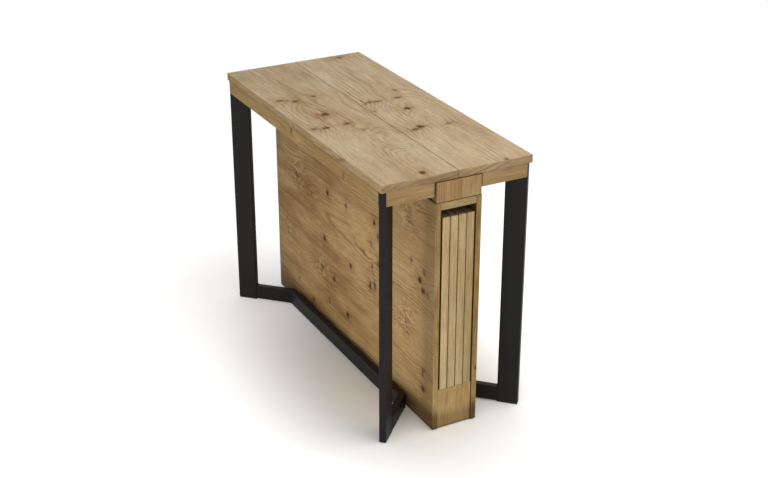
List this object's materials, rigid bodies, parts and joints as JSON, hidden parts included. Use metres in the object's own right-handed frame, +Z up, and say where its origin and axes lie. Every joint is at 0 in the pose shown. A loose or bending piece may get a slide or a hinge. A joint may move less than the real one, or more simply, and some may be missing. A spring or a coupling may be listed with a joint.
{
  "type": "extendable console table",
  "caption": "Console table whose two half tops slide apart on telescopic rails from a central box that stores loose extension leaves on edge; oak boards on black tube legs with floor rails.",
  "frame": {"origin": "on the floor, at the middle of the closed table's footprint", "axes": "+Z up, X the way the halves draw apart, Y along the table's length, with the open end of the leaf store towards -Y"},
  "size_m": [0.45, 1.008, 0.76],
  "materials": {
    "oak": "light knotty oak, matt lacquer",
    "black_steel": "satin black powder coat",
    "aluminium": "anodised extrusion",
    "black_plastic": "moulded, matt"
  },
  "bodies": {
    "store": {"store_left_panel": "oak", "store_right_panel": "oak", "store_top_board": "oak", "store_floor_board": "oak", "store_front_plinth": "oak", "store_rear_plinth": "oak", "store_back_panel": "oak", "front_fascia": "oak", "rear_fascia": "oak", "slide_base_board": "oak", "front_slide_fixed": "aluminium", "rear_slide_fixed": "aluminium", "store_left_front_glide": "black_plastic", "store_left_rear_glide": "black_plastic", "store_right_front_glide": "black_plastic", "store_right_rear_glide": "black_plastic"},
    "left_half": {"left_top": "oak", "left_side_apron": "oak", "left_front_apron": "oak", "left_rear_apron": "oak", "left_front_leg": "black_steel", "left_rear_leg": "black_steel", "left_front_leg_glide": "black_plastic", "left_rear_leg_glide": "black_plastic", "left_front_diagonal_rail": "black_steel", "left_rear_diagonal_rail": "black_steel", "left_straight_rail": "black_steel", "left_front_slide_end": "aluminium", "left_rear_slide_end": "aluminium"},
    "right_half": {"right_top": "oak", "right_side_apron": "oak", "right_front_apron": "oak", "right_rear_apron": "oak", "right_front_leg": "black_steel", "right_rear_leg": "black_steel", "right_front_leg_glide": "black_plastic", "right_rear_leg_glide": "black_plastic", "right_front_diagonal_rail": "black_steel", "right_rear_diagonal_rail": "black_steel", "right_straight_rail": "black_steel", "right_front_slide_end": "aluminium", "right_rear_slide_end": "aluminium"},
    "left_stage_1": {"left_front_slide_stage_1": "aluminium", "left_rear_slide_stage_1": "aluminium"},
    "left_stage_2": {"left_front_slide_stage_2": "aluminium", "left_rear_slide_stage_2": "aluminium"},
    "left_stage_3": {"left_front_slide_stage_3": "aluminium", "left_rear_slide_stage_3": "aluminium"},
    "right_stage_1": {"right_front_slide_stage_1": "aluminium", "right_rear_slide_stage_1": "aluminium"},
    "right_stage_2": {"right_front_slide_stage_2": "aluminium", "right_rear_slide_stage_2": "aluminium"},
    "right_stage_3": {"right_front_slide_stage_3": "aluminium", "right_rear_slide_stage_3": "aluminium"},
    "stored_leaf_1": {"leaf_1": "oak"},
    "stored_leaf_2": {"leaf_2": "oak"},
    "stored_leaf_3": {"leaf_3": "oak"},
    "stored_leaf_4": {"leaf_4": "oak"}
  },
  "joints": [
    {"name": "left_half_slide", "type": "slide", "parent": "store", "child": "left_half", "axis": [-1, 0, 0], "range_m": [0, 1.03]},
    {"name": "right_half_slide", "type": "slide", "parent": "store", "child": "right_half", "axis": [1, 0, 0], "range_m": [0, 1.03]},
    {"name": "left_stage_1_slide", "type": "slide", "parent": "store", "child": "left_stage_1", "axis": [-1, 0, 0], "range_m": [0, 0.2575]},
    {"name": "left_stage_2_slide", "type": "slide", "parent": "store", "child": "left_stage_2", "axis": [-1, 0, 0], "range_m": [0, 0.515]},
    {"name": "left_stage_3_slide", "type": "slide", "parent": "store", "child": "left_stage_3", "axis": [-1, 0, 0], "range_m": [0, 0.7725]},
    {"name": "right_stage_1_slide", "type": "slide", "parent": "store", "child": "right_stage_1", "axis": [1, 0, 0], "range_m": [0, 0.2575]},
    {"name": "right_stage_2_slide", "type": "slide", "parent": "store", "child": "right_stage_2", "axis": [1, 0, 0], "range_m": [0, 0.515]},
    {"name": "right_stage_3_slide", "type": "slide", "parent": "store", "child": "right_stage_3", "axis": [1, 0, 0], "range_m": [0, 0.7725]},
    {"name": "leaf_1_draw", "type": "slide", "parent": "store", "child": "stored_leaf_1", "axis": [0, -1, 0], "range_m": [0, 1.01]},
    {"name": "leaf_2_draw", "type": "slide", "parent": "store", "child": "stored_leaf_2", "axis": [0, -1, 0], "range_m": [0, 1.01]},
    {"name": "leaf_3_draw", "type": "slide", "parent": "store", "child": "stored_leaf_3", "axis": [0, -1, 0], "range_m": [0, 1.01]},
    {"name": "leaf_4_draw", "type": "slide", "parent": "store", "child": "stored_leaf_4", "axis": [0, -1, 0], "range_m": [0, 1.01]}
  ],
  "couplings": [
    {"joint": "left_stage_1_slide", "follows": "left_half_slide", "ratio": 0.25},
    {"joint": "left_stage_2_slide", "follows": "left_half_slide", "ratio": 0.5},
    {"joint": "left_stage_3_slide", "follows": "left_half_slide", "ratio": 0.75},
    {"joint": "right_stage_1_slide", "follows": "right_half_slide", "ratio": 0.25},
    {"joint": "right_stage_2_slide", "follows": "right_half_slide", "ratio": 0.5},
    {"joint": "right_stage_3_slide", "follows": "right_half_slide", "ratio": 0.75}
  ]
}
